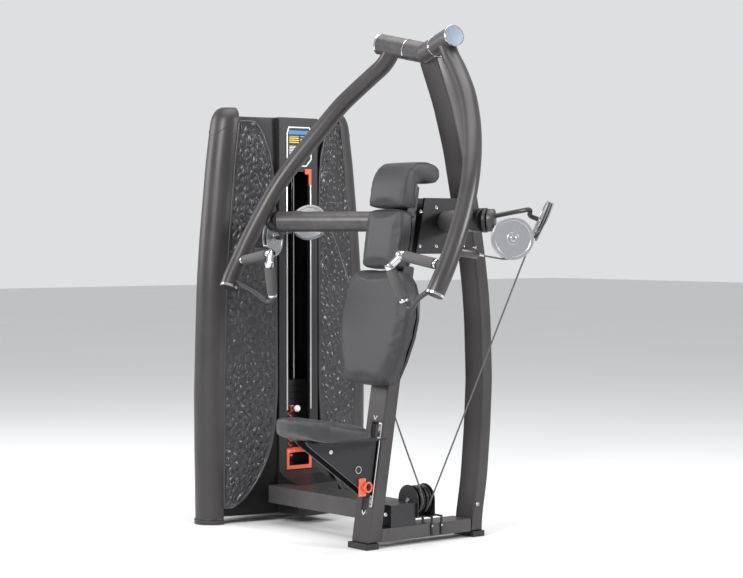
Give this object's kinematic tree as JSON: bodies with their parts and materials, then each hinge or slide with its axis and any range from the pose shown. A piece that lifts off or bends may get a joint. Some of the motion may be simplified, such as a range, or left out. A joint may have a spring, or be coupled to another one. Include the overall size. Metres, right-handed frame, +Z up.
{
  "type": "seated chest press machine",
  "caption": "Pin-loaded seated press: overhead-pivot converging arms with angled grips, padded seat and back, winged pulley heads, hammered-panel weight tower at one side",
  "frame": {"origin": "middle of the front foot's underside, on the floor", "axes": "+Z up, the user faces -Y, the user's left is +X, the weight tower stands at -X"},
  "size_m": [1.6854, 1.005, 1.8571],
  "materials": {
    "grey_paint": "satin metallic powder coat",
    "dark_paint": "dark satin powder coat",
    "pad_cover": "grained upholstery, matt",
    "chrome": "polished",
    "alloy": "turned and anodised",
    "grip": "matt moulded grip",
    "shield": "hammered relief, semi-gloss",
    "orange": "moulded plastic",
    "black": "black"
  },
  "bodies": {
    "frame": {"backrest_rail": "grey_paint", "seat_post": "grey_paint", "rear_post": "grey_paint", "hub_block": "grey_paint", "base_beam": "grey_paint", "cross_tube": "grey_paint", "wing_tube_left": "grey_paint", "wing_tube_right": "grey_paint", "pulley_head_left": "grey_paint", "pulley_head_right": "grey_paint", "tower_column_front": "grey_paint", "tower_column_rear": "grey_paint", "seat_post_foot": "dark_paint", "rear_post_foot": "dark_paint", "cross_saddle": "dark_paint", "base_pulley_bracket": "dark_paint", "mount_plate_left": "dark_paint", "mount_plate_right": "dark_paint", "shroud_user": "dark_paint", "shroud_back": "dark_paint", "tower_base": "dark_paint", "tower_top": "dark_paint", "stack_resting": "dark_paint", "lower_back_pad": "pad_cover", "upper_back_pad": "pad_cover", "headrest_pad": "pad_cover", "slide_rail": "chrome", "guide_rod_front": "chrome", "guide_rod_rear": "chrome", "shield_front_user": "shield", "shield_front_back": "shield", "shield_rear_user": "shield", "shield_rear_back": "shield", "slot_trim_bottom": "orange", "slot_trim_top": "orange", "cable_lead_left": "black", "cable_left": "black", "cable_lead_right": "black", "cable_right": "black", "placard": "black", "stack_bumper": "black"},
    "arm_left": {"arm_left": "grey_paint", "grip_rear_left": "grip", "grip_front_left": "grip"},
    "lead_pulley_left": {"lead_pulley_left": "alloy"},
    "drop_pulley_left": {"drop_pulley_left": "alloy"},
    "base_pulley_left": {"base_pulley_left": "black"},
    "arm_right": {"arm_right": "grey_paint", "grip_rear_right": "grip", "grip_front_right": "grip"},
    "lead_pulley_right": {"lead_pulley_right": "alloy"},
    "drop_pulley_right": {"drop_pulley_right": "alloy"},
    "base_pulley_right": {"base_pulley_right": "black"},
    "seat": {"seat_bracket": "dark_paint", "seat_pad": "pad_cover", "pop_pin_plate": "orange"},
    "seat_lever": {"seat_lever": "orange"},
    "pop_pin": {"pop_pin": "orange"},
    "stack": {"stack_lifted": "dark_paint"},
    "selector_pin": {"selector_pin": "chrome"}
  },
  "joints": [
    {"name": "arm_left_swing", "type": "hinge", "parent": "frame", "child": "arm_left", "pos_m": [0.077, 0.275, 1.791], "axis": [-0.9535, 0.2167, -0.2095], "range_deg": [0, 40]},
    {"name": "arm_right_swing", "type": "hinge", "parent": "frame", "child": "arm_right", "pos_m": [-0.077, 0.275, 1.791], "axis": [-0.9535, -0.2167, 0.2095], "range_deg": [0, 40]},
    {"name": "stack_lift", "type": "slide", "parent": "frame", "child": "stack", "axis": [0, 0, 1], "range_m": [0, 0.36]},
    {"name": "selector_pin_pull", "type": "slide", "parent": "stack", "child": "selector_pin", "axis": [1, 0, 0], "range_m": [0, 0.12]},
    {"name": "seat_height", "type": "slide", "parent": "frame", "child": "seat", "axis": [0, 0.1599, 0.9871], "range_m": [-0.06, 0.06]},
    {"name": "seat_lever_lift", "type": "hinge", "parent": "seat", "child": "seat_lever", "pos_m": [-0.052, -0.051, 0.287], "axis": [-1, 0, 0], "range_deg": [0, 5], "stiffness_Nm_per_rad": 4},
    {"name": "pop_pin_pull", "type": "slide", "parent": "seat", "child": "pop_pin", "axis": [1, 0, 0], "range_m": [0, 0.02], "stiffness_N_per_m": 400},
    {"name": "lead_pulley_left_spin", "type": "hinge", "parent": "frame", "child": "lead_pulley_left", "pos_m": [0.673, 0.094, 1.104], "axis": [0.88, -0.475, 0], "continuous": true},
    {"name": "drop_pulley_left_spin", "type": "hinge", "parent": "frame", "child": "drop_pulley_left", "pos_m": [0.65, 0.251, 1.163], "axis": [0.5729, 0.7098, -0.4099], "continuous": true},
    {"name": "base_pulley_left_spin", "type": "hinge", "parent": "frame", "child": "base_pulley_left", "pos_m": [0.003, 0.264, 0.155], "axis": [0, 1, 0], "continuous": true},
    {"name": "lead_pulley_right_spin", "type": "hinge", "parent": "frame", "child": "lead_pulley_right", "pos_m": [-0.673, 0.094, 1.104], "axis": [-0.88, -0.475, 0], "continuous": true},
    {"name": "drop_pulley_right_spin", "type": "hinge", "parent": "frame", "child": "drop_pulley_right", "pos_m": [-0.65, 0.251, 1.163], "axis": [-0.5729, 0.7098, -0.4099], "continuous": true},
    {"name": "base_pulley_right_spin", "type": "hinge", "parent": "frame", "child": "base_pulley_right", "pos_m": [0.003, 0.234, 0.155], "axis": [0, 1, 0], "continuous": true}
  ],
  "couplings": [
    {"joint": "arm_right_swing", "follows": "arm_left_swing", "ratio": 1},
    {"joint": "stack_lift", "follows": "arm_left_swing", "m_per_rad": 0.5}
  ]
}
